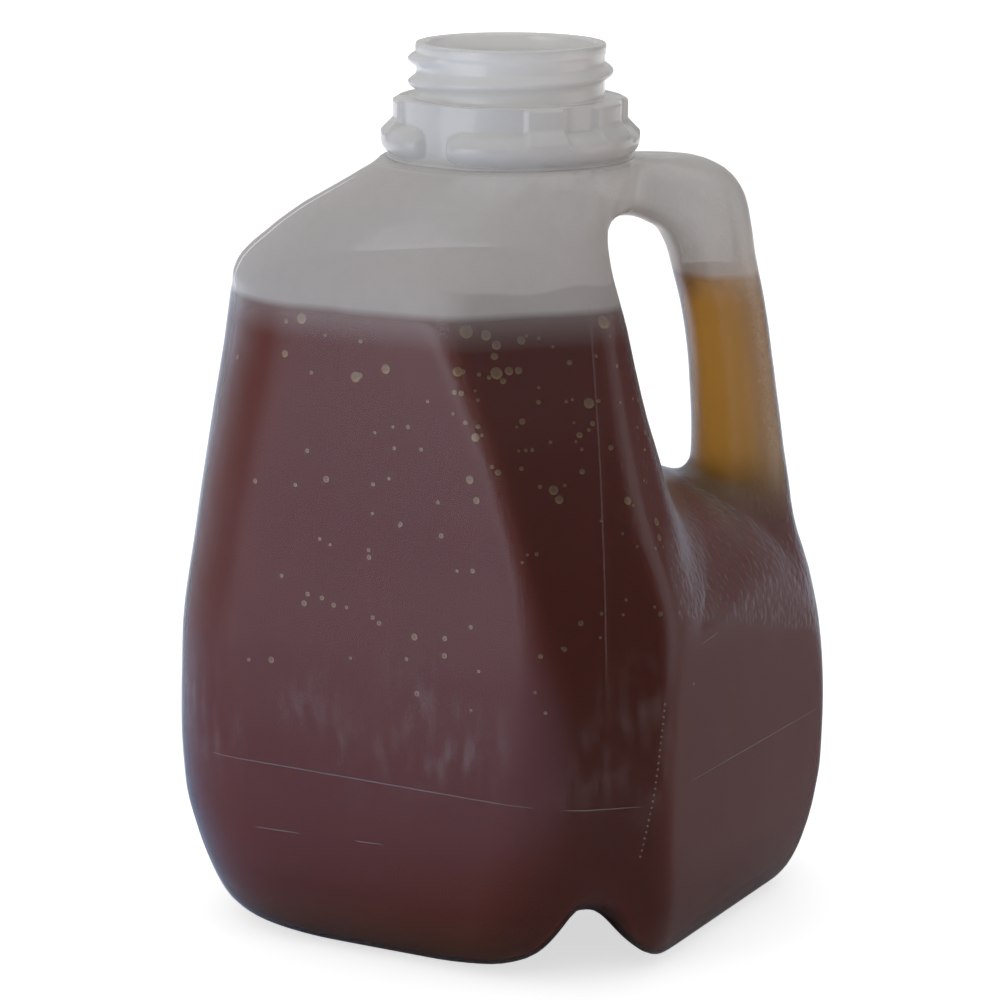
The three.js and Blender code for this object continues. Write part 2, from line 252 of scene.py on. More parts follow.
def handle_field(x, y, z):
    """Nearly the distance to the handle, whose section is a squarish oval round the centre line."""
    distance, thick, wide = read_table(*np.broadcast_arrays(x, z))
    n = HANDLE_SQUARENESS
    scale = ((distance / thick) ** n + (np.abs(y) / wide) ** n) ** (1 / n)
    reach = np.sqrt(distance * distance + y * y)
    return reach * (1 - 1 / np.maximum(scale, 1e-3))


def base_field(x, y, z):
    """Positive above the base: a dished panel, and a notch under the front and the back facet."""
    r = np.sqrt(x * x + y * y)
    dish = DISH_DEPTH * (1 - smooth_step(r, *DISH_EDGE))
    across = np.abs(x - NOTCH_MIDDLE) - NOTCH_FLARE * np.maximum(NOTCH_MOUTH - np.abs(y), 0)
    bell = (1 - smooth_step(across, *NOTCH_TOE)) / (1 + (np.maximum(across, 0) / NOTCH_HALF_WIDTH) ** 3)
    roof = ROOF.read(np.abs(y))[0] * bell
    return (z - np.maximum(dish, roof)) * BASE_SLOPE


def outer_field(x, y, z):
    """Negative inside the whole body, up to the collar."""
    body = body_field(x, y, z)
    handle = handle_field(x, y, z)
    joined = blend_min(body, handle, HANDLE_BLEND)
    joined = blend_max(joined, -base_field(x, y, z), HEEL_BLEND)
    r = np.sqrt(x * x + y * y)
    collar = np.maximum(r - COLLAR_RADIUS, COLLAR_FOOT - z)
    capped = blend_max(joined, z - COLLAR_SEAT, CAP_BLEND)
    return blend_min(capped, collar, COLLAR_BLEND)


# ---- surface nets


CUBE = np.array([(i, j, k) for i in (0, 1) for j in (0, 1) for k in (0, 1)])
CUBE_EDGES = [(a, b) for a in range(8) for b in range(a + 1, 8) if np.abs(CUBE[a] - CUBE[b]).sum() == 1]


def surface_net(field, axes):
    """Quads round the zero level of a field sampled on a grid: one point in each cell that it crosses."""
    x, y, z = axes
    value = field(x[:, None, None], y[None, :, None], z[None, None, :])
    inside = value < 0
    shape = np.array(value.shape) - 1
    count = sum(inside[i:i + shape[0], j:j + shape[1], k:k + shape[2]].astype(np.int8) for i, j, k in CUBE)
    cells = np.argwhere((count > 0) & (count < 8))
    number = np.full(tuple(shape), -1)
    number[tuple(cells.T)] = np.arange(len(cells))
    corner = np.stack([value[tuple((cells + c).T)] for c in CUBE], 1)
    total = np.zeros((len(cells), 3))
    hits = np.zeros(len(cells))
    for a, b in CUBE_EDGES:
        crossed = (corner[:, a] < 0) != (corner[:, b] < 0)
        t = np.where(crossed, corner[:, a] / np.where(crossed, corner[:, a] - corner[:, b], 1), 0)
        total += crossed[:, None] * (CUBE[a] + t[:, None] * (CUBE[b] - CUBE[a]))
        hits += crossed
    local = cells + total / hits[:, None]
    points = np.stack([np.interp(local[:, n], np.arange(len(axis)), axis) for n, axis in enumerate(axes)], 1)
    return points, net_quads(inside, number)


def net_quads(inside, number):
    """One quad for each grid edge that the surface crosses, from the numbers of the four cells round it."""
    quads = []
    for axis in range(3):
        first = [slice(None)] * 3
        second = [slice(None)] * 3
        first[axis], second[axis] = slice(0, -1), slice(1, None)
        low, high = inside[tuple(first)], inside[tuple(second)]
        at = np.argwhere(low != high)
        b, c = [n for n in range(3) if n != axis]
        at = at[(at[:, b] > 0) & (at[:, c] > 0)]
        at = at[(at[:, b] < number.shape[b]) & (at[:, c] < number.shape[c])]
        ring = []
        for db, dc in ((-1, -1), (0, -1), (0, 0), (-1, 0)):
            cell = at.copy()
            cell[:, b] += db
            cell[:, c] += dc
            ring.append(number[tuple(cell.T)])
        quad = np.stack(ring, 1)
        outward = low[tuple(at.T)] == (axis != 1)
        quads.append(np.where(outward[:, None], quad, quad[:, ::-1]))
    return np.concatenate(quads)


def gradient(field, points, reach=0.05):
    """The field's gradient at each point, and the gradient's length."""
    columns = []
    for n in range(3):
        step = np.zeros(3)
        step[n] = reach
        ahead, behind = points + step, points - step
        columns.append(field(*ahead.T) - field(*behind.T))
    g = np.stack(columns, 1) / (2 * reach)
    return g, np.linalg.norm(g, axis=1, keepdims=True)


def settle(field, points, rounds=3):
    """Moves each point onto the field's zero level, and returns the unit normals there too."""
    for _ in range(rounds):
        g, length = gradient(field, points)
        points = points - field(*points.T)[:, None] * g / np.maximum(length * length, 0.05)
    g, length = gradient(field, points)
    return points, g / np.maximum(length, 1e-6)


def relax(points, quads, held):
    """One pass that draws each point that isn't held towards the middle of its neighbours."""
    total = np.zeros_like(points)
    count = np.zeros(len(points))
    for a, b in ((0, 1), (1, 0), (1, 2), (2, 1), (2, 3), (3, 2), (3, 0), (0, 3)):
        np.add.at(total, quads[:, a], points[quads[:, b]])
        np.add.at(count, quads[:, a], 1)
    middle = total / np.maximum(count, 1)[:, None]
    return np.where(held[:, None], points, 0.5 * points + 0.5 * middle)


def grid_axes(step, top):
    """Grid lines over the body, with the last one so placed that the top row of cells straddles top."""
    margin = 2 * step
    axes = []
    for n in range(2):
        low, high = SHELL_BOX[0][n] - margin, SHELL_BOX[1][n] + margin
        axes.append(np.linspace(low, high, int(round((high - low) / step)) + 1))
    rows = int(math.ceil((top + margin) / step))
    axes.append(top + step / 2 - step * np.arange(rows, -1, -1))
    return axes


def body_surface(step, inset, top, round_edge=True):
    """The body's surface, drawn in by inset and open at the height top: points, quads, and the open edge."""
    points, quads = surface_net(outer_field, grid_axes(step, top))
    edge = boundary_points(quads, len(points))
    for _ in range(2):
        points = relax(points, quads, edge)
        points, _ = settle(outer_field, points, 2)
    points, normals = settle(outer_field, points)
    points = points - normals * inset
    points[edge, 2] = top
    if round_edge:
        angle = np.arctan2(points[edge, 1], points[edge, 0])
        radius = COLLAR_RADIUS - inset
        points[edge, 0], points[edge, 1] = radius * np.cos(angle), radius * np.sin(angle)
    return points, quads, np.flatnonzero(edge)


def boundary_points(quads, count):
    """True for each point that lies on an open edge."""
    edges = np.concatenate([quads[:, [n, (n + 1) % 4]] for n in range(4)])
    key = np.sort(edges, 1)
    key = key[:, 0] * count + key[:, 1]
    unique, times = np.unique(key, return_counts=True)
    open_keys = unique[times == 1]
    on_edge = np.zeros(count, bool)
    on_edge[open_keys // count] = True
    on_edge[open_keys % count] = True
    return on_edge


# ---- the neck

COLUMNS = 336  # points round each ring
NECK_STEP = 0.42  # between rings on the outside
BORE_STEP = 0.9  # between rings in the bore
BORE_RADIUS = 15.4
THREAD_ROOT = 17.2
BAND_RADIUS = 20.6
BAND_BORE = 19.0
COLLAR_TOP = 142.0
BAND_BOTTOM = 147.2
BAND_TOP = 152.4
RIM_RADIUS = 17.4

# Directions round the neck are in degrees.
THREAD = {
    "crest": 18.75, "pitch": 4.23, "low": 154.2, "flat": 0.15, "half": 1.75,
    "from": 85.0, "to": 575.0, "runout": 30.0,
}
BEAD = {
    "radius": 23.75, "low": 141.7, "high": 147.9, "fullness": 0.55,
    "from": -140.0, "to": 206.0, "end": 13.0, "end_girth": 0.35,
}
BLOCKS = ((81, 100), (119.5, 142), (159, 181))  # the same three stand on the other side too
BLOCK_EDGE = 0.9  # degrees over which a block rises
BLOCK_RISE = 0.9
BLOCK_FOOT = 148.6  # a block slopes outwards from here down to the bead
BLOCK_TOP = (BAND_TOP - 0.5, BAND_TOP + 0.1)

NECK_OUTSIDE = (
    (COLLAR_RADIUS, JOIN_Z), (22.6, 141.9), (22.2, 142.1), (21.3, 142.4), (20.8, 142.8),
    (BAND_RADIUS, 143.4), (BAND_RADIUS, BAND_BOTTOM), (BAND_RADIUS, 151.6), (20.45, 152),
    (20, 152.35), (17.6, 152.45),
    (17.3, 152.6), (THREAD_ROOT, 153), (THREAD_ROOT, 160), (RIM_RADIUS, 160.5), (RIM_RADIUS, 161.9),
    (17.25, 162.3), (16.9, 162.4),
)
NECK_INSIDE = (
    (16.9, 162.4), (16, 162.4), (15.6, 162.2), (BORE_RADIUS, 161.8), (BORE_RADIUS, 153), (15.7, 151.6),
    (16.6, 150.5), (18.2, 149.5), (18.9, 148.6), (BAND_BORE, BAND_BOTTOM), (19.6, 144), (21.2, 142),
    (22.4, JOIN_Z),
)


def subdivide(profile, step):
    """The same open outline with points no further apart than step."""
    rows = [profile[0]]
    for (r0, z0), (r1, z1) in zip(profile[:-1], profile[1:]):
        parts = max(1, int(math.ceil(math.hypot(r1 - r0, z1 - z0) / step)))
        rows += [(r0 + (r1 - r0) * n / parts, z0 + (z1 - z0) * n / parts) for n in range(1, parts + 1)]
    return np.array(rows)


def bead_radius(angle, z):
    """The rounded bead round the collar, which stops short of closing."""
    turned = (angle - BEAD["from"]) % 360
    length = BEAD["to"] - BEAD["from"]
    reach = np.clip(np.minimum(turned, length - turned) / BEAD["end"], 0, 1)
    lift = np.where(turned < length, np.sqrt(1 - (1 - reach) ** 2), 0)
    middle = (BEAD["low"] + BEAD["high"]) / 2
    half = (BEAD["high"] - BEAD["low"]) / 2
    girth = BEAD["end_girth"] + (1 - BEAD["end_girth"]) * lift
    across = np.clip(np.abs(z - middle) / half / girth, 0, 1)
    bump = np.cos(across * math.pi / 2) ** BEAD["fullness"]
    return BAND_RADIUS + (BEAD["radius"] - BAND_RADIUS) * bump * lift


def thread_radius(angle, z):
    """A single thread that climbs for a turn and a third, and fades at both ends."""
    radius = np.zeros(np.broadcast(angle, z).shape)
    for turn in (0, 360):
        degrees = angle % 360 + turn
        middle = THREAD["low"] + THREAD["pitch"] * (degrees - THREAD["from"]) / 360
        lift = smooth_step(degrees, THREAD["from"], THREAD["from"] + THREAD["runout"])
        lift = lift * (1 - smooth_step(degrees, THREAD["to"] - THREAD["runout"], THREAD["to"]))
        bump = 1 - smooth_step(np.abs(z - middle), THREAD["flat"], THREAD["half"])
        radius = np.maximum(radius, (THREAD["crest"] - THREAD_ROOT) * lift * bump)
    return THREAD_ROOT + radius


def block_radius(angle, z):
    """The ratchet blocks on the band above the bead, which hold a cap's tamper ring."""
    rise = 0
    for low, high in BLOCKS:
        for turned in (angle % 180, angle % 180 + 180):
            start = smooth_step(turned, low - BLOCK_EDGE, low)
            end = smooth_step(turned, high, high + BLOCK_EDGE)
            rise = np.maximum(rise, start * (1 - end))
    foot = np.clip(BLOCK_FOOT - z, 0, BEAD["radius"] - BAND_RADIUS - BLOCK_RISE)
    return BAND_RADIUS + rise * (foot + BLOCK_RISE * (1 - smooth_step(z, *BLOCK_TOP)))


def neck_rows():
    """Rings of points from the collar's edge up the outside, over the rim and down the bore."""
    outside = subdivide(NECK_OUTSIDE, NECK_STEP)
    inside = subdivide(NECK_INSIDE, BORE_STEP)[1:]
    angle = np.degrees(np.linspace(0, 2 * math.pi, COLUMNS, endpoint=False))[None, :]
    r, z = outside[:, :1], outside[:, 1:]
    on_band = (z > COLLAR_TOP - 0.3) & (z < BAND_TOP)
    on_thread = (z > BAND_TOP + 0.1) & (z < RIM_Z - 1.9)
    radius = np.where(on_band & (z < BEAD["high"]), np.maximum(r, bead_radius(angle, z)), r + 0 * angle)
    radius = np.where(on_band & (z > BAND_BOTTOM - 2.5), np.maximum(radius, block_radius(angle, z)), radius)
    radius = np.where(on_thread, np.maximum(radius, thread_radius(angle, z)), radius)
    radius = np.concatenate([radius, inside[:, :1] + 0 * angle])
    height = np.concatenate([z + 0 * angle, inside[:, 1:] + 0 * angle])
    turn = np.radians(angle)
    return np.stack([radius * np.cos(turn), radius * np.sin(turn), height], -1)


def grid_quads(rows, columns, first):
    """Quads between neighbouring rings of a closed band, numbered from first."""
    i, j = np.meshgrid(np.arange(rows - 1), np.arange(columns), indexing="ij")
    k = (j + 1) % columns
    quad = np.stack([i * columns + j, i * columns + k, (i + 1) * columns + k, (i + 1) * columns + j], -1)
    return quad.reshape(-1, 4) + first


def zip_rings(lower, upper, points):
    """Triangles that join two rings of points, each sorted by its angle round the z axis."""
    def angles(ring):
        return np.arctan2(points[ring, 1], points[ring, 0]) % (2 * math.pi)
    lower = np.array(lower)[np.argsort(angles(lower))]
    upper = np.array(upper)[np.argsort(angles(upper))]
    a = np.append(angles(lower), angles(lower)[0] + 2 * math.pi)
    b = np.append(angles(upper), angles(upper)[0] + 2 * math.pi)
    triangles = []
    i = j = 0
    while i < len(lower) or j < len(upper):
        low, high = lower[i % len(lower)], upper[j % len(upper)]
        if j == len(upper) or (i < len(lower) and a[i + 1] <= b[j + 1]):
            i += 1
            triangles.append((low, lower[i % len(lower)], high))
        else:
            j += 1
            triangles.append((low, upper[j % len(upper)], high))
    return np.array(triangles)


# ---- meshes


def new_object(name, points, face_lists):
    """A smooth-shaded object made of points in millimetres and lists of faces."""
    faces = [tuple(face) for group in face_lists for face in group]
    mesh = bpy.data.meshes.new(name)
    mesh.from_pydata((np.asarray(points) * MM).tolist(), [], faces)
    mesh.shade_smooth()
    mesh.update()
    piece = bpy.data.objects.new(name, mesh)
    bpy.context.scene.collection.objects.link(piece)
    return piece


def set_attribute(piece, name, values):
    attribute = piece.data.attributes.new(name, "FLOAT", "POINT")
    attribute.data.foreach_set("value", np.asarray(values, np.float32))


def shell_piece():
    """The jug's wall: outer face, neck and inner face in one closed mesh. The inner faces get the lining."""
    outer, outer_quads, outer_loop = body_surface(BODY_STEP, 0, JOIN_Z)
    inner, inner_quads, inner_loop = body_surface(INNER_STEP, WALL, JOIN_Z)
    rings = neck_rows()
    rows = len(rings)
    neck = rings.reshape(-1, 3)
    points = np.concatenate([outer, inner, neck])
    inner_first, neck_first = len(outer), len(outer) + len(inner)
    first_ring = neck_first + np.arange(COLUMNS)
    last_ring = neck_first + (rows - 1) * COLUMNS + np.arange(COLUMNS)
    outer_zip = zip_rings(outer_loop, first_ring, points)
    inner_zip = zip_rings(inner_loop + inner_first, last_ring, points)[:, ::-1]
    neck_quads = grid_quads(rows, COLUMNS, neck_first)
    faces = [outer_quads, outer_zip, neck_quads, inner_quads[:, ::-1] + inner_first, inner_zip]
    piece = new_object("jug", points, faces)
    set_attribute(piece, "grain", grain_strength(points))
    set_attribute(piece, "fine_grain", fine_grain_strength(points))
    set_attribute(piece, "crease_highlight", crease_highlight_mask(points))
    set_attribute(piece, "grip", grip_strength(points))
    inside = len(inner_quads) + len(inner_zip)
    index = np.zeros(len(piece.data.polygons), np.int32)
    index[-inside:] = 1
    piece.data.polygons.foreach_set("material_index", index)
    return piece


def grain_strength(points):
    """One in the hollow under the hand hole, where the mould left ripples."""
    x, y, z = points.T
    along = (x - np.abs(y)) / math.sqrt(2)
    lower_edge = 58.8 - 0.267 * along
    above_edge = smooth_step(z, lower_edge - 0.6, lower_edge + 0.6)
    beside_facet = smooth_step(x, 12.5, 15.0)
    below_hole = 1 - smooth_step(z, 76, 84)
    return above_edge * beside_facet * below_hole


def grip_strength(points):
    """One on the back of the handle, where the mould's grain is coarse. The same mask puts specks of painted
    highlight there, for the light that the grain scatters.
    """
    x, y, z = points.T
    back = smooth_step(x - handle_middle(z), -3, 3) * smooth_step(x, 28, 36)
    return back * smooth_step(z, 74, 88) * (1 - smooth_step(z, 134, 140))


FACET_EDGE_X = -22  # where the facets' edge away from the handle is at this height,
FACET_EDGE_Z = 118
FACET_EDGE_LEAN = 0.17  # and how fast it moves inwards, per mm down


def fine_grain_strength(points):
    """One on the front and back facets and on the shoulder, where the mould left a finer grain."""
    x, y, z = points.T
    facet_edge = FACET_EDGE_X + (FACET_EDGE_Z - z) * FACET_EDGE_LEAN
    facet = smooth_step(x, facet_edge - 4, facet_edge) * (1 - smooth_step(x, 16, 20))
    facet = facet * smooth_step(np.abs(y), 16, 24) * smooth_step(z, 52, 66)
    shoulder = smooth_step(z, LEVEL - 4, LEVEL + 6) * (1 - smooth_step(z, 139, 141))
    return np.maximum(facet, shoulder)


def crease_highlight_mask(points):
    """Where the painted highlight goes: one along the upright edges between the side faces and the front and
    back facets.
    """
    x, y, z = points.T
    side = (np.abs(y) - x) / math.sqrt(2) - Curve(SIDE_FLAT).read(z)[0]
    front = np.abs(y) - Curve(FRONT_FLAT).read(z)[0]
    beside = 1 - smooth_step(np.abs(side - front), 0.3, 1.3)
    return beside * (1 - smooth_step(x, -8, 0)) * smooth_step(z, 50, 112)


def handle_middle(z):
    """How far out the handle's centre line is at a height, below its top corner."""
    rows = np.array(HANDLE[4:], float)[::-1]
    return np.interp(z, rows[:, 1], rows[:, 0])


def liquid_piece():
    """The liquid's surface just inside the wall, closed by a flat, sharp-edged top."""
    points, quads, _ = body_surface(LIQUID_STEP, WALL + FILM, LEVEL, round_edge=False)
    piece = new_object("drink", points, [quads])
    set_attribute(piece, "thin_and_heel_glow", thinness_and_heel_glow(points))
    mesh = bmesh.new()
    mesh.from_mesh(piece.data)
    edge = [e for e in mesh.edges if e.is_boundary]
    bmesh.ops.holes_fill(mesh, edges=edge, sides=0)
    bmesh.ops.recalc_face_normals(mesh, faces=mesh.faces)
    for face in mesh.faces:
        if len(face.verts) > 4:
            face.smooth = False
    mesh.to_mesh(piece.data)
    mesh.free()
    return piece


def thinness_and_heel_glow(points):
    """One in the handle, where light goes straight through the liquid. About a third along the heel, where
    the amber is a painted warm glow.
    """
    x, y, z = points.T
    handle = smooth_step(x, 31, 36) * smooth_step(z, 69, 84)
    # Painted glow: the liquid along the heel is not thin, but turns partly amber to brighten it.
    painted_heel_glow = 0.34 * (1 - smooth_step(z, 1, 14))
    return np.maximum(handle, painted_heel_glow)


# ---- marks on the surface


INWARDS = np.arange(95.0, 3.0, -0.5)  # distances at which a search from outside looks for the surface


def outermost(centres, directions):
    """The surface points that are met first on the way in to each centre, and the normals there."""
    path = centres[:, None] + directions[:, None] * INWARDS[:, None]
    first = np.argmax(outer_field(*np.moveaxis(path, -1, 0)) < 0, axis=1)
    return settle(outer_field, path[np.arange(len(path)), first], 4)


def surface_points(degrees, z):
    """The body's outermost points in directions round the neck's axis, at heights, and the normals there."""
    angle = np.radians(degrees)
    flat = np.zeros_like(angle)
    return outermost(np.stack([flat, flat, z], 1), np.stack([np.cos(angle), np.sin(angle), flat], 1))


RIDGE_OUTLINE = ((-0.5, -0.6), (-0.3, 0.6), (0, 1), (0.3, 0.6), (0.5, -0.6))  # in widths and heights
RIDGE_TAPER = 0.3


def ridge(at, up, width, height):
    """A low ridge along a row of surface points and normals, which tapers to its ends: points and faces."""
    run = np.gradient(at, axis=0)
    side = np.cross(run, up)
    side /= np.linalg.norm(side, axis=1, keepdims=True)
    size = np.sin(np.linspace(0, math.pi, len(at)))[:, None] ** RIDGE_TAPER
    rings = [at + side * width * a * size + up * height * b * size for a, b in RIDGE_OUTLINE]
    points = np.stack(rings, 1).reshape(-1, 3)
    count = len(RIDGE_OUTLINE)
    caps = [range(count)[::-1], range(len(points) - count, len(points))]
    return points, grid_quads(len(at), count, 0), caps


def join_parts(parts):
    """One list of points and one of faces out of several."""
    points, faces, first = [], [], 0
    for part_points, *groups in parts:
        for group in groups:
            faces += [tuple(index + first for index in face) for face in group]
        points.append(part_points)
        first += len(part_points)
    return np.concatenate(points), faces


def mould_plane_line(centre, low, high):
    """Points and normals on the mould plane's outline, seen from centre (x, z), from degrees low to high."""
    angle = np.radians(np.arange(low, high, 1.5))
    flat = np.zeros_like(angle)
    centres = np.stack([flat + centre[0], flat, flat + centre[1]], 1)
    points, normals = outermost(centres, np.stack([np.cos(angle), flat, np.sin(angle)], 1))
    below_neck = points[:, 2] < COLLAR_SEAT - 1.5
    return points[below_neck], normals[below_neck]


PARTING_RIDGE = (0.6, 0.2)  # width and height
PARTING_ARCS = (((-5, 80), 98, 266), ((15, 80), -84, 72))  # centre (x, z), from degrees, to degrees
WITNESS_RIDGE = (0.26, 0.05)
# (from degrees, height there, to degrees, height there)
WITNESS_LINES = (
    (-170, 35.6, -102, 35), (-98, 34.9, -84, 34.6), (-162, 23, -152, 23.2), (-140, 23.6, -133, 23.8),
    (-73, 36.4, -13, 35.8), (-68, 60.1, -60, 60.7), (172, 36, 100, 35.5), (98, 35.4, 82, 35),
)


def ridges_piece():
    """The parting ridge in the mould plane, and the witness lines left by the mould's inserts."""
    parts = [ridge(*mould_plane_line(*arc), *PARTING_RIDGE) for arc in PARTING_ARCS]
    for degrees, z, end, end_z in WITNESS_LINES:
        count = max(3, int(abs(end - degrees) + abs(end_z - z)))
        line = surface_points(np.linspace(degrees, end, count), np.linspace(z, end_z, count))
        parts.append(ridge(*line, *WITNESS_RIDGE))
    points, faces = join_parts(parts)
    points[:, 2] = np.maximum(points[:, 2], 0)  # the ridge is pressed flat where the jug stands on it
    return new_object("mould_lines", points, [faces])


def dome(centre, normal, radius, height):
    """A flattened ball on the surface at centre."""
    mesh = bmesh.new()
    bmesh.ops.create_icosphere(mesh, subdivisions=2, radius=1.0)
    mesh.verts.ensure_lookup_table()
    ball = np.array([v.co for v in mesh.verts])
    faces = [tuple(v.index for v in f.verts) for f in mesh.faces]
    mesh.free()
    turn = np.array(Vector(normal).to_track_quat("Z", "Y").to_matrix())
    return (ball * (radius, radius, height)) @ turn.T + centre, faces


VENT_DOTS = 25
VENT_START = (-79.8, 52.4)  # degrees and height of the topmost dot
VENT_STEP = (-0.18, -1.13)  # to the next
VENT_SIZE = (0.22, 0.12)  # radius and height


def vent_dots_piece():
    """A row of tiny moulded dots down the front facet."""
    n = np.arange(VENT_DOTS)
    points, normals = surface_points(*(start + step * n for start, step in zip(VENT_START, VENT_STEP)))
    parts = [dome(point, normal, *VENT_SIZE) for point, normal in zip(points, normals)]
    points, faces = join_parts(parts)
    return new_object("vent_dots", points, [faces])


# The larger bubbles, as (degrees, height, radius).
LARGE_BUBBLES = (
    (-116.8, 116.6, 1.3), (-112.3, 115.9, 1), (-109.9, 114.2, 0.9), (-110.2, 112.4, 0.7),
    (-109.7, 109.6, 1.15), (-107, 109.8, 0.8), (-104.8, 109.8, 0.7), (-104, 114.8, 0.8),
    (-81.5, 117, 1.3), (-88.7, 103.8, 1), (-135.5, 109.2, 0.9), (-142.9, 107.3, 1),
    (-156.7, 116.6, 1), (-98, 89.8, 0.9), (-96.9, 88.2, 0.8), (-82.6, 87.2, 0.8),
    (-74.8, 82.6, 0.8), (-75.1, 80.1, 0.7), (-113.8, 99, 0.8), (-118, 110, 0.9),
    (-92.3, 110.8, 0.5), (-160, 110, 0.7), (-115, 91.5, 0.8), (-113.5, 88, 0.7),
)
SMALL_BUBBLES = 260
BUBBLE_CLUSTERS = (-150, -118, -100, -80, 150, 118, 100, 80)  # degrees
CLUSTER_SPREAD = 12
BUBBLE_DEPTH = 68  # from the highest of them down to the lowest
BUBBLE_SEED = 7


def bubbles_piece():
    """Flattened bubbles in the clear space between the liquid and the wall, densest near the top."""
    rng = np.random.default_rng(BUBBLE_SEED)
    places = list(LARGE_BUBBLES)
    for _ in range(SMALL_BUBBLES):
        degrees = rng.choice(BUBBLE_CLUSTERS) + rng.normal(0, CLUSTER_SPREAD)
        height = LEVEL - 3 - BUBBLE_DEPTH * rng.beta(1.1, 1.5)
        places.append((degrees, height, 0.28 + 0.35 * rng.random() ** 2))
    degrees, height, radius = np.array(places).T
    points, normals = surface_points(degrees, height)
    points = points - normals * (WALL + FILM / 2)
    parts = [dome(point, normal, r, 0.4 * FILM) for point, normal, r in zip(points, normals, radius)]
    points, faces = join_parts(parts)
    piece = new_object("bubbles", points, [faces])
    set_attribute(piece, "rim", np.tile(bubble_rim(), len(places)))
    return piece


def bubble_rim():
    """For each point of a dome, how much of the light above it that point would catch: a painted highlight
    round its rim, brightest on top.
    """
    ball, _ = dome((0, 0, 0), (0, 0, 1), 1.0, 1.0)
    edge = np.hypot(ball[:, 0], ball[:, 1])
    return smooth_step(edge, 0.35, 0.95) * (0.45 + 0.55 * ball[:, 1]) + 0.12


# ---- materials


def rgb(red, green, blue):
    return (red, green, blue, 1.0)


class Graph:
    """The nodes of a material or a world. An input that is a socket is linked, and any other is a value."""

    def __init__(self, owner):
        self.owner = owner
        owner.use_nodes = True
        self.tree = owner.node_tree
        self.tree.nodes.clear()

    def node(self, kind, inputs, **settings):
        node = self.tree.nodes.new("ShaderNode" + kind)
        for key, value in settings.items():
            setattr(node, key, value)
        for key, value in inputs.items():
            if isinstance(value, bpy.types.NodeSocket):
                self.tree.links.new(value, node.inputs[key])
            else:
                node.inputs[key].default_value = value
        return node

    def add(self, kind, inputs, **settings):
        """The first output of a new node."""
        return self.node(kind, inputs, **settings).outputs[0]

    def finish(self, surface, kind="OutputMaterial"):
        self.node(kind, {"Surface": surface})
        return self.owner

    def math(self, operation, a, b=0.0, c=0.0):
        return self.add("Math", {0: a, 1: b, 2: c}, operation=operation)

    def plus(self, total, *values):
        for value in values:
            total = self.math("ADD", total, value)
        return total

    def times(self, total, *values):
        for value in values:
            total = self.math("MULTIPLY", total, value)
        return total

    def scale(self, value, low, high, start, end, **settings):
        """value, moved from the range low..high to start..end and held within it."""
        return self.add("MapRange", {0: value, 1: low, 2: high, 3: start, 4: end}, **settings)

    def scale_mm(self, place, low, high, start=0.0, end=1.0):
        """The same for a coordinate, with low and high in millimetres."""
        return self.scale(place, low * MM, high * MM, start, end)

    def noise(self, where, size, detail=2.0, distortion=0.0):
        """Noise with features about size millimetres across, from 0 to 1."""
        inputs = {"Vector": where, "Scale": 1 / (size * MM), "Detail": detail, "Distortion": distortion}
        return self.add("TexNoise", inputs)

    def where(self):
        return self.node("TexCoord", {}).outputs["Object"]

    def stretched(self, where, factors):
        return self.add("VectorMath", {0: where, 1: factors}, operation="MULTIPLY")

    def part(self, where, axis):
        return self.node("SeparateXYZ", {0: where}).outputs[axis]

    def attribute(self, name):
        return self.node("Attribute", {}, attribute_name=name).outputs["Fac"]

    def mix(self, factor, a, b):
        return self.add("MixShader", {0: factor, 1: a, 2: b})

    def color(self, factor, a, b):
        return self.node("Mix", {0: factor, 6: a, 7: b}, data_type="RGBA").outputs[2]

    def clear(self, color):
        return self.add("BsdfTransparent", {"Color": color})

    def scattered(self, through, inputs):
        """Scattered light, of which the share through leaves on the other side."""
        back = self.add("BsdfDiffuse", inputs)
        return self.mix(through, back, self.add("BsdfTranslucent", inputs))


def material_graph(name):
    return Graph(bpy.data.materials.new(name))


# Heights of the bumps, in units of the first.
BUMP_UNIT = 0.13  # mm
RIPPLE_HEIGHT = 0.16
BROAD_HEIGHT = 1.2
GROOVE_DEPTH = 0.9
FINE_HEIGHT = (0.75, 0.004)  # where the mesh asks for the fine grain, and what is added everywhere

RIPPLE_STEP = 1.1  # mm from crest to crest
RIPPLE_BEND = 18.0  # radians between the noise's extremes


def grain_normal(graph, where):
    """The mould's surface: ripples, a coarse and a fine grain, broad waves and a groove."""
    coarse = graph.noise(where, 1.1, 1.0, 0.5)
    fine = graph.noise(where, 0.8, 1.5, 0.4)
    fine_height = graph.math("MULTIPLY_ADD", graph.attribute("fine_grain"), *FINE_HEIGHT)
    broad = graph.noise(where, 11.0, 1.0)
    raised = graph.plus(
        graph.times(ripples(graph, where), graph.attribute("grain")),
        graph.times(coarse, graph.attribute("grip")),
        graph.times(fine, fine_height),
        graph.times(broad, BROAD_HEIGHT),
    )
    sunk = graph.times(insert_groove(graph, where), GROOVE_DEPTH)
    height = graph.math("SUBTRACT", raised, sunk)
    return graph.add("Bump", {"Strength": 1.0, "Distance": BUMP_UNIT * MM, "Height": height})


def ripples(graph, where):
    """Wavy upright ridges, as in sand."""
    x, y = graph.part(where, "X"), graph.part(where, "Y")
    across = graph.math("SUBTRACT", x, graph.math("ABSOLUTE", y))
    turns = graph.times(across, 2 * math.pi / (RIPPLE_STEP * MM))
    bend = graph.noise(graph.stretched(where, (1.0, 1.0, 0.8)), 1.35, 0.0)
    wave = graph.math("SINE", graph.plus(turns, graph.times(bend, RIPPLE_BEND)))
    return graph.times(wave, RIPPLE_HEIGHT)


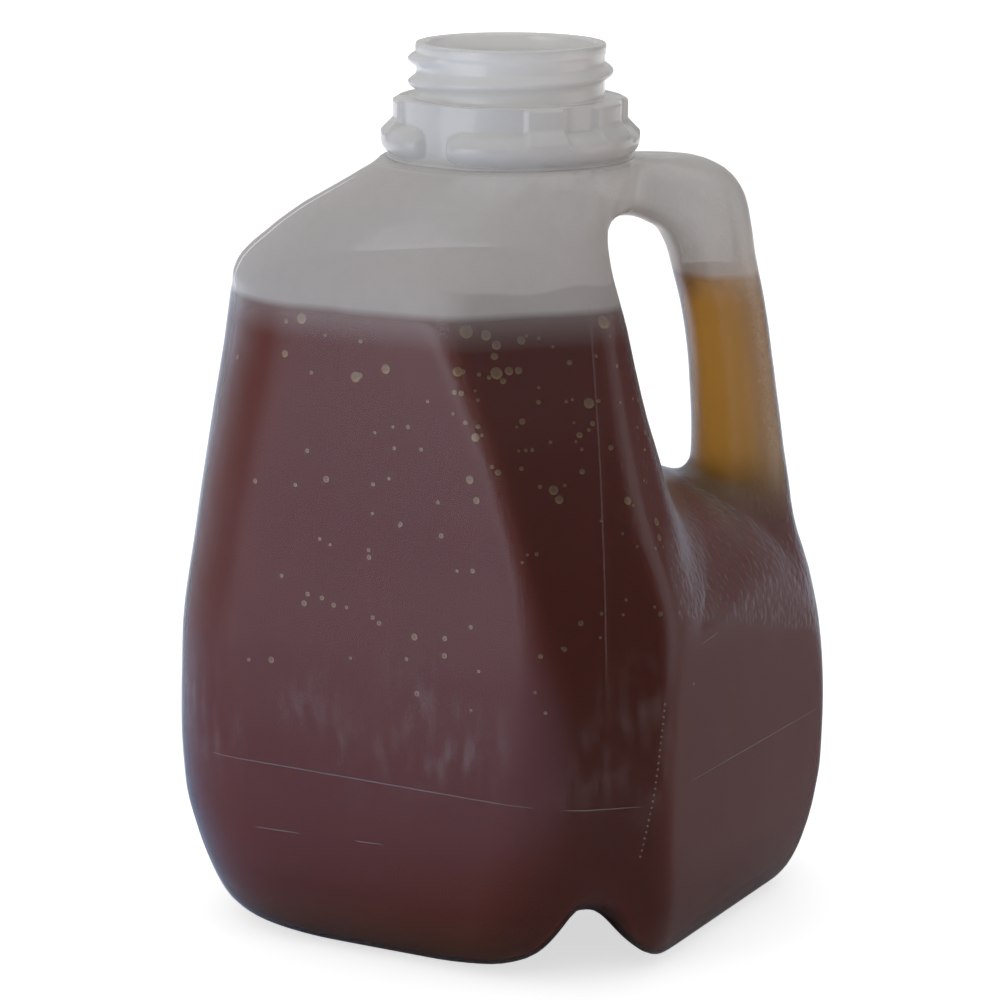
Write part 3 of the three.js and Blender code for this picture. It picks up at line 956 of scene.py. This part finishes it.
def insert_groove(graph, where):
    """One along the line that the mould's insert leaves down the front and the back facet."""
    x, z = graph.part(where, "X"), graph.part(where, "Z")
    line = graph.scale_mm(z, 54, 119, 0.2 * MM, 3.2 * MM)
    beside = graph.math("ABSOLUTE", graph.math("SUBTRACT", x, line))
    groove = graph.scale_mm(beside, 0.15, 0.45, 1.0, 0.0)
    top = graph.scale_mm(z, 119, 121, 1.0, 0.0)
    bottom = graph.scale_mm(z, 50, 62)
    return graph.times(groove, top, bottom)


POLYETHYLENE_IOR = 1.48
BODY_ROUGHNESS = 0.32
NECK_ROUGHNESS = 0.18
RIPPLE_ROUGHNESS = 0.14  # added where the wall is rippled
WET_SHEEN = rgb(0.80, 0.87, 1.0)
WHITE = rgb(1, 1, 1)
CLEAR_WALL = rgb(0.97, 0.97, 0.965)
CLEAR_LINING = rgb(0.98, 0.98, 0.98)
WALL_THROUGH = 0.55
LINING_THROUGH = 0.5


def wall_material():
    """Milky where the wall is dry. Where liquid wets it the milk nearly goes, and the gloss stays."""
    graph = material_graph("natural polyethylene, outer face")
    where = graph.where()
    z = graph.part(where, "Z")
    normal = grain_normal(graph, where)
    milk = graph.scattered(WALL_THROUGH, {"Color": milk_color(graph, where), "Normal": normal})
    body = graph.mix(wall_haze(graph, where), graph.clear(CLEAR_WALL), milk)
    rough = graph.scale_mm(z, COLLAR_SEAT - 1, COLLAR_TOP, BODY_ROUGHNESS, NECK_ROUGHNESS)
    rough = graph.math("MULTIPLY_ADD", graph.attribute("grain"), RIPPLE_ROUGHNESS, rough)
    sheen = graph.color(graph.scale_mm(z, LEVEL - 1, LEVEL + 1), WET_SHEEN, WHITE)
    inputs = {"Color": sheen, "Roughness": rough, "Normal": normal}
    gloss = graph.add("BsdfGlossy", inputs, distribution="GGX")
    fresnel = graph.add("Fresnel", {"IOR": POLYETHYLENE_IOR, "Normal": normal})
    return graph.finish(graph.mix(fresnel, body, gloss))


# Each pair is a colour's two shades, which a noise mixes.
BODY_MILK = (rgb(0.82, 0.815, 0.805), rgb(0.89, 0.885, 0.875))
NECK_MILK = rgb(0.95, 0.945, 0.93)
LEVEL_BAND_GREY = rgb(0.35, 0.34, 0.33)
LEVEL_BAND_STRENGTH = 0.30


def milk_color(graph, where):
    """White with a little mottle, whiter on the neck, and greyer in a wavy band just above the liquid on the
    front and back facets.
    """
    z = graph.part(where, "Z")
    milk = graph.color(graph.noise(where, 3.0, 3.0), *BODY_MILK)
    milk = graph.color(graph.scale_mm(z, COLLAR_SEAT, BAND_TOP), milk, NECK_MILK)
    wave = graph.times(graph.noise(graph.stretched(where, (1, 1, 0)), 22.0, 1.0), 7.0 * MM)
    level_band = graph.scale_mm(graph.math("SUBTRACT", z, wave), LEVEL + 0.5, LEVEL + 1.1, 1.0, 0.0)
    facet = graph.scale_mm(graph.math("ABSOLUTE", graph.part(where, "X")), 18, 24, LEVEL_BAND_STRENGTH, 0.0)
    return graph.color(graph.times(level_band, facet), milk, LEVEL_BAND_GREY)


# Shares of light that the wall scatters.
BODY_HAZE = 0.76
NECK_HAZE = 0.96
WET_HAZE = 0.004
SHORE_HAZE = 0.30  # just below the liquid's level
SCUFF_HAZE = 0.20
# Painted highlight: paler crests on the ripples under the hand hole, where the crests catch the light.
CREST_HIGHLIGHT_HAZE = 0.09  # on the crests of the ripples
# Painted highlight: specks of milk along the upright edges, in place of the light that they catch.
CREASE_HIGHLIGHT_HAZE = (0.01, 0.12)
# Painted highlight: specks of milk on the handle's back, for the sparkle of its coarse grain.
GRIP_SPARKLE_HAZE = (0.20, 0.27)


def wall_haze(graph, where):
    """The share of light that the wall scatters: most of it where it is dry, hardly any where it is wet.
    Specks of it along the creases, on the ripples' crests and on the handle's back are painted highlights.
    """
    z = graph.part(where, "Z")
    crease_highlight = graph.scale(graph.noise(where, 0.5, 1.0), 0.35, 0.70, *CREASE_HIGHLIGHT_HAZE)
    grip = graph.scale(graph.noise(where, 0.8), 0.3, 0.7, *GRIP_SPARKLE_HAZE)
    crest_highlights = graph.scale(ripples(graph, where), 0.0, RIPPLE_HEIGHT, 0.0, CREST_HIGHLIGHT_HAZE)
    wet = graph.plus(
        scuffs(graph, where),
        graph.scale_mm(z, LEVEL - 6, LEVEL, 0.0, SHORE_HAZE),
        graph.times(graph.attribute("crease_highlight"), crease_highlight),
        graph.times(graph.attribute("grip"), grip),
        graph.times(graph.attribute("grain"), crest_highlights),
        WET_HAZE,
    )
    dry = graph.scale_mm(z, COLLAR_SEAT - 1, COLLAR_SEAT + 0.5, BODY_HAZE, NECK_HAZE)
    wobble = graph.times(graph.noise(graph.stretched(where, (1, 1, 0)), 14.0), 0.7 * MM)
    above = graph.scale_mm(graph.plus(z, wobble), LEVEL - 0.4, LEVEL + 0.9)
    return graph.add("Mix", {0: above, 2: wet, 3: dry})


def scuffs(graph, where):
    """Pale upright streaks in patches, low on the jug and away from the handle."""
    x, z = graph.part(where, "X"), graph.part(where, "Z")
    streaks = graph.noise(graph.stretched(where, (1, 1, 0.4)), 2.2, 5.0)
    streaks = graph.scale(streaks, 0.44, 0.80, 0.0, SCUFF_HAZE)
    patches = graph.scale(graph.noise(where, 20.0, 1.0), 0.38, 0.60, 0.0, 1.0)
    side = graph.scale_mm(x, 8, 18, 1.0, 0.0)
    bottom = graph.scale_mm(z, 28, 42)
    top = graph.scale_mm(z, 64, 46)
    return graph.times(streaks, patches, side, bottom, top)


LINING_MILK = (rgb(0.86, 0.855, 0.84), rgb(0.93, 0.925, 0.91))
LINING_HAZE = 0.35


def lining_material():
    """The wall's inner face: no more than a breath of milk, and nothing at all where liquid touches it."""
    graph = material_graph("natural polyethylene, inner face")
    where = graph.where()
    haze = graph.scale_mm(graph.part(where, "Z"), LEVEL - 0.2, LEVEL + 0.6, 0.0, LINING_HAZE)
    milk = graph.color(graph.noise(where, 3.0, 3.0), *LINING_MILK)
    milk = graph.scattered(LINING_THROUGH, {"Color": milk})
    return graph.finish(graph.mix(haze, graph.clear(CLEAR_LINING), milk))


DEEP_BROWN = (rgb(0.155, 0.023, 0.007), rgb(0.19, 0.034, 0.013))
AMBER = (rgb(0.88, 0.62, 0.26), rgb(0.93, 0.69, 0.33))
CLEAR_AMBER = rgb(0.86, 0.62, 0.27)
AMBER_THROUGH = 0.8
AMBER_CLEARNESS = 0.24  # the share of light that passes the thinnest liquid unscattered


def liquid_material():
    """Brown, and amber where the light has only a little way to go through it, and along the heel as a
    painted warm glow.
    """
    graph = material_graph("brown liquid")
    cloud = graph.noise(graph.stretched(graph.where(), (1.0, 1.0, 0.45)), 16.0, 3.0)
    thin_and_heel_glow = graph.attribute("thin_and_heel_glow")
    deep = graph.add("BsdfDiffuse", {"Color": graph.color(cloud, *DEEP_BROWN)})
    glow = graph.scattered(AMBER_THROUGH, {"Color": graph.color(cloud, *AMBER)})
    glow = graph.mix(graph.times(thin_and_heel_glow, thin_and_heel_glow, AMBER_CLEARNESS), glow, graph.clear(CLEAR_AMBER))
    return graph.finish(graph.mix(thin_and_heel_glow, deep, glow))


# Painted light and shade: each bubble is darker in its middle and lighter round its rim, most towards the
# top.
BUBBLE_SHADED = (rgb(0.20, 0.075, 0.03), rgb(0.26, 0.12, 0.055))
BUBBLE_LIT = (rgb(0.50, 0.28, 0.10), rgb(0.62, 0.40, 0.17))
SMALL_ROUGHNESS = 0.3  # of the bubbles, and of the mould's lines and dots


def bubble_material():
    graph = material_graph("air against the wall")
    cloud = graph.noise(graph.where(), 1.6)
    dark = graph.color(cloud, *BUBBLE_SHADED)
    pale = graph.color(cloud, *BUBBLE_LIT)
    shade = graph.color(graph.attribute("rim"), dark, pale)
    return graph.finish(graph.add("BsdfPrincipled", {"Base Color": shade, "Roughness": SMALL_ROUGHNESS}))


WET_LINE = (rgb(0.36, 0.34, 0.32), rgb(0.5, 0.48, 0.46))
DRY_LINE = rgb(0.95, 0.95, 0.95)
LINE_OPACITY = (0.22, 0.7)  # wet and dry


def line_material():
    graph = material_graph("natural polyethylene, mould lines")
    where = graph.where()
    z = graph.part(where, "Z")
    wet = graph.color(graph.noise(where, 2.0), *WET_LINE)
    milk = graph.color(graph.scale_mm(z, LEVEL - 1, LEVEL + 1), wet, DRY_LINE)
    solid = graph.add("BsdfPrincipled", {"Base Color": milk, "Roughness": SMALL_ROUGHNESS})
    opacity = graph.scale_mm(z, LEVEL - 1, LEVEL, *LINE_OPACITY)
    return graph.finish(graph.mix(opacity, graph.clear(WHITE), solid))


# ---- the scene


def build_object():
    jug, drink = shell_piece(), liquid_piece()
    bubbles, lines, dots = bubbles_piece(), ridges_piece(), vent_dots_piece()
    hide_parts("jug_shell")
    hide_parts("liquid")
    dress(jug, "natural_polyethylene", wall_material(), lining_material())
    dress(drink, "brown_liquid", liquid_material())
    dress(bubbles, "brown_liquid", bubble_material())
    dress(lines, "natural_polyethylene", line_material())
    dress(dots, "natural_polyethylene", line_material())


def dress(piece, slot, *materials):
    """Gives a piece its materials. The argument slot is not used. Like every piece, it rides on the jug's
    one body.
    """
    for material in materials:
        piece.data.materials.append(material)
    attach(piece, "root")


FLOOR_REACH = 1500  # mm
FLOOR_GREY = rgb(0.55, 0.55, 0.55)
FLOOR_GLOW = 0.66
FLOOR_BACK_GLOW = 0.35
FLOOR_BACK_TINT = rgb(0.85, 0.9, 1)


def add_floor():
    """The camera sees a pale, glowing floor. The jug is lit by a tinted one, which glows behind it."""
    corners = [(-1, -1, 0), (1, -1, 0), (1, 1, 0), (-1, 1, 0)]
    floor = new_object("floor", np.array(corners) * FLOOR_REACH, [[(0, 1, 2, 3)]])
    graph = material_graph("pale floor")
    seen = glowing(graph, FLOOR_GREY, WHITE, FLOOR_GLOW)
    behind = graph.scale_mm(graph.part(graph.where(), "Y"), 50, 250, 0.0, FLOOR_BACK_GLOW)
    unseen = glowing(graph, floor_tint(graph), FLOOR_BACK_TINT, behind)
    camera_ray = graph.node("LightPath", {}).outputs["Is Camera Ray"]
    floor.data.materials.append(graph.finish(graph.mix(camera_ray, unseen, seen)))


def glowing(graph, color, tint, strength):
    glow = graph.add("Emission", {"Color": tint, "Strength": strength})
    return graph.add("AddShader", {0: graph.add("BsdfDiffuse", {"Color": color}), 1: glow})


WARM_TINT = rgb(0.49, 0.40, 0.38)
WINDOW_TINT = rgb(0.60, 0.72, 0.96)
PALE_TINT = rgb(0.92, 0.92, 0.94)


def floor_tint(graph):
    """What the jug sees of the floor: greyish, bluer on the left as if beside a window, pale behind."""
    where = graph.where()
    side = graph.scale_mm(graph.part(where, "X"), -30, -80)
    behind = graph.scale_mm(graph.part(where, "Y"), 80, 300)
    return graph.color(behind, graph.color(side, WARM_TINT, WINDOW_TINT), PALE_TINT)


ROOM_GLOW = 0.15
TOP_GLOW = 1.06
BACK_GLOW = 1.3
GLOSS_DIMMING = 0.6  # keeps the bright studio from veiling the wet walls


def add_world():
    """A dim room with a bright ceiling and a white backdrop behind the jug, all dimmer in reflections."""
    world = bpy.data.worlds.new("studio")
    bpy.context.scene.world = world
    graph = Graph(world)
    behind = glow_towards(graph, (0, 1, 0), (0.25, 0.8), 0.0, BACK_GLOW)
    above = glow_towards(graph, (0, -0.2, 1), (0.4, 0.85), ROOM_GLOW, TOP_GLOW)
    total = graph.math("MAXIMUM", behind, above)
    reflected = graph.node("LightPath", {}).outputs["Is Glossy Ray"]
    total = graph.times(total, graph.math("MULTIPLY_ADD", reflected, -GLOSS_DIMMING, 1.0))
    graph.finish(graph.add("Background", {"Color": WHITE, "Strength": total}), "OutputWorld")


def glow_towards(graph, direction, cosines, start, end):
    """A glow that grows from start to end as the view turns towards a direction."""
    view = graph.node("TexCoord", {}).outputs["Generated"]
    inputs = {0: view, 1: Vector(direction).normalized()}
    facing = graph.node("VectorMath", inputs, operation="DOT_PRODUCT").outputs["Value"]
    return graph.scale(facing, *cosines, start, end, interpolation_type="SMOOTHSTEP")


# (name, place, size, radiance, tint), in millimetres; all of them face the jug's middle.
SOFTBOXES = (
    ("left softbox", (-640, -195, 110), (460, 620), 1.7, (0.95, 0.965, 1.0)),
    ("right softbox", (600, -260, 170), (460, 460), 1.15, (1.0, 0.975, 0.94)),
    ("front softbox", (-560, -400, 250), (260, 320), 2.3, (1.0, 1.0, 1.0)),
)
JUG_MIDDLE = (0, 0, 80)


def add_softbox(name, place, size, radiance, tint):
    light = bpy.data.lights.new(name, "AREA")
    light.shape = "RECTANGLE"
    light.size, light.size_y = size[0] * MM, size[1] * MM
    light.energy = radiance * math.pi * size[0] * size[1] * MM * MM
    light.color = tint
    lamp = bpy.data.objects.new(name, light)
    lamp.location = Vector(place) * MM
    direction = (Vector(JUG_MIDDLE) - Vector(place)).normalized()
    lamp.rotation_euler = direction.to_track_quat("-Z", "Y").to_euler()
    bpy.context.scene.collection.objects.link(lamp)


CAMERA_AZIMUTH = 17.051  # degrees the camera stands to the left of the jug's front
CAMERA_PITCH = 12.808
CAMERA_YAW = -0.132
CAMERA_ROLL = 0.268
CAMERA_DISTANCE = 688.46
CAMERA_HEIGHT = 233.24
CAMERA_LENS = 135.79  # on a 36 mm sensor


def turned(a, b, degrees):
    """Two axes at right angles, turned so that a moves towards b."""
    cos, sin = math.cos(math.radians(degrees)), math.sin(math.radians(degrees))
    return a * cos + b * sin, b * cos - a * sin


def add_camera():
    up = Vector((0, 0, 1))
    ahead, right = turned(Vector((0, 1, 0)), Vector((1, 0, 0)), CAMERA_AZIMUTH)
    station = ahead * -CAMERA_DISTANCE + up * CAMERA_HEIGHT
    ahead, right = turned(ahead, right, CAMERA_YAW)
    top, forward = turned(up, ahead, CAMERA_PITCH)
    right, top = turned(right, top, CAMERA_ROLL)
    camera = bpy.data.objects.new("camera", bpy.data.cameras.new("camera"))
    camera.data.lens = CAMERA_LENS
    camera.data.clip_start = 0.01
    axes = Matrix((right, top, -forward)).transposed().to_4x4()
    camera.matrix_world = Matrix.Translation(station * MM) @ axes
    bpy.context.scene.collection.objects.link(camera)
    bpy.context.scene.camera = camera


build_object()
add_floor()
add_world()
for softbox in SOFTBOXES:
    add_softbox(*softbox)
add_camera()
bpy.context.scene.view_settings.view_transform = "Standard"
